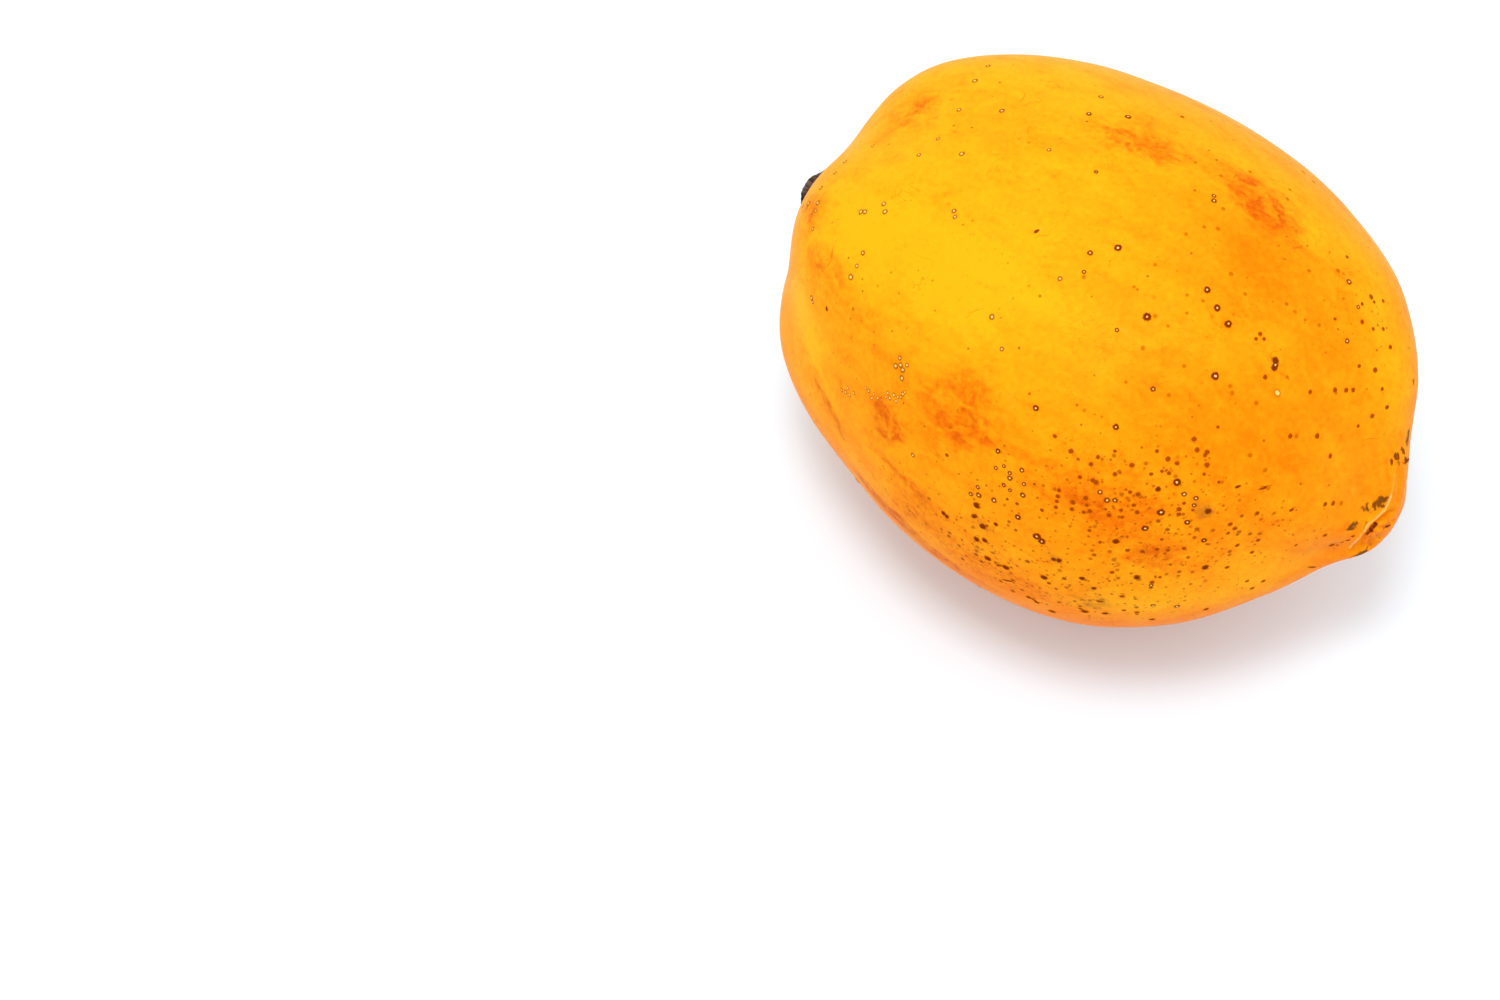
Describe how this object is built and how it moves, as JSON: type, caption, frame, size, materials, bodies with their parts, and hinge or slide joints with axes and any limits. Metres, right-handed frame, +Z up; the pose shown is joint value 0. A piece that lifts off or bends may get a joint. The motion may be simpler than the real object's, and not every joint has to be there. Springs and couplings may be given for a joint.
{
  "type": "papaya",
  "caption": "Ripe yellow papaya lying on its side, five soft ribs, blunt puckered blossom end and the dried stub of its stalk",
  "frame": {"origin": "the point under the middle of the bounding box, on the surface that the papaya lies on", "axes": "+X along the fruit towards the blossom end, with the stalk stub at -X; +Z up; +Y across the fruit"},
  "size_m": [0.1608, 0.1226, 0.114],
  "materials": {
    "skin": "waxy satin, yellow to orange with red-orange blush and small brown spots",
    "stalk": "dried, matt, dark grey-brown"
  },
  "bodies": {
    "root": {"fruit": "skin", "stalk_stub": "stalk"}
  },
  "joints": []
}
